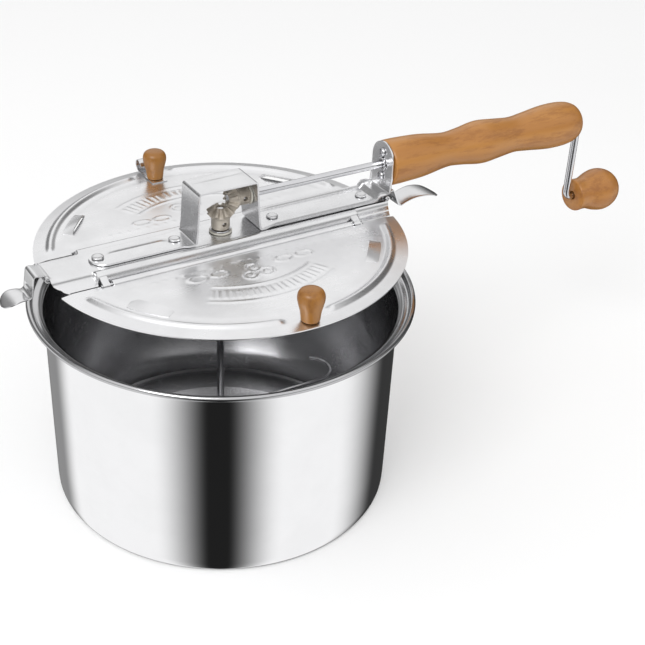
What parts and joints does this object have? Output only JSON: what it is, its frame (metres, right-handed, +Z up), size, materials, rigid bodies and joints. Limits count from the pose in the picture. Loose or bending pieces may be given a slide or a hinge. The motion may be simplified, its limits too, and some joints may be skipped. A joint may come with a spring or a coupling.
{
  "type": "stovetop popcorn maker",
  "caption": "Stovetop popcorn maker: straight-sided steel pot, hinged-leaf lid on a bridge, bevel-geared hand crank with wooden grip, wire stirrer and rim clips.",
  "frame": {"origin": "middle of the pot's flat underside", "axes": "+Z up through the pot and the stirrer shaft, +X along the bridge towards the wooden handle, +Y towards the rear lid leaf, the one with the catch"},
  "size_m": [0.4766, 0.2498, 0.218],
  "materials": {
    "polished_steel": "mirror-polished stainless steel",
    "satin_steel": "bright satin stainless sheet",
    "bright_wire": "bright drawn steel",
    "cast_metal": "as cast, beige-grey, slightly rough",
    "light_wood": "honey-coloured, satin lacquer",
    "dark_wood": "orange-brown, satin lacquer",
    "nylon": "natural nylon"
  },
  "bodies": {
    "pot": {"pot": "polished_steel"},
    "lid_frame": {"bridge": "satin_steel", "handle_strap": "satin_steel", "rivet_1": "satin_steel", "rivet_2": "satin_steel", "rivet_3": "satin_steel", "rivet_4": "satin_steel", "stirrer_bush": "nylon", "crank_bush": "nylon", "plate_star_ring": "bright_wire", "handle_grip": "light_wood", "handle_screw_1": "bright_wire", "handle_screw_2": "bright_wire", "front_hinge_wire": "bright_wire", "rear_hinge_wire": "bright_wire", "left_clip_pin": "bright_wire", "right_clip_pin": "bright_wire"},
    "front_leaf": {"front_leaf": "satin_steel", "front_knob": "dark_wood", "front_knob_screw": "bright_wire"},
    "rear_leaf": {"rear_leaf": "satin_steel", "rear_catch": "satin_steel", "rear_knob": "dark_wood", "rear_knob_screw": "bright_wire"},
    "crank": {"crank_rod": "bright_wire", "crank_gear": "cast_metal", "crank_gear_pin": "bright_wire"},
    "crank_knob": {"crank_knob": "light_wood"},
    "stirrer": {"stirrer_shaft": "bright_wire", "stirrer_gear": "cast_metal", "stirrer_gear_pin": "bright_wire", "thrust_washer": "bright_wire", "shaft_retainer": "bright_wire", "stirrer_wire": "bright_wire"},
    "left_clip": {"left_clip": "satin_steel"},
    "right_clip": {"right_clip": "satin_steel"}
  },
  "joints": [
    {"name": "lid_lift", "type": "slide", "parent": "pot", "child": "lid_frame", "axis": [0, 0, 1], "range_m": [-0.038, 0.105]},
    {"name": "crank_turn", "type": "hinge", "parent": "lid_frame", "child": "crank", "pos_m": [0, 0, 0.2025], "axis": [1, 0, 0], "continuous": true},
    {"name": "stirrer_turn", "type": "hinge", "parent": "lid_frame", "child": "stirrer", "pos_m": [0, 0, 0.179], "axis": [0, 0, 1], "continuous": true},
    {"name": "crank_knob_spin", "type": "hinge", "parent": "crank", "child": "crank_knob", "pos_m": [0.2915, 0, 0.1415], "axis": [1, 0, 0], "continuous": true},
    {"name": "front_leaf_hinge", "type": "hinge", "parent": "lid_frame", "child": "front_leaf", "pos_m": [0, -0.022, 0.1756], "axis": [-1, 0, 0], "range_deg": [0, 85]},
    {"name": "rear_leaf_hinge", "type": "hinge", "parent": "lid_frame", "child": "rear_leaf", "pos_m": [0, 0.022, 0.1756], "axis": [1, 0, 0], "range_deg": [0, 85]},
    {"name": "left_clip_hinge", "type": "hinge", "parent": "lid_frame", "child": "left_clip", "pos_m": [-0.1186, 0, 0.1812], "axis": [0, 1, 0], "range_deg": [-9, 65]},
    {"name": "right_clip_hinge", "type": "hinge", "parent": "lid_frame", "child": "right_clip", "pos_m": [0.1186, 0, 0.1812], "axis": [0, -1, 0], "range_deg": [-22, 16]}
  ],
  "couplings": [
    {"joint": "stirrer_turn", "follows": "crank_turn", "ratio": 1}
  ]
}
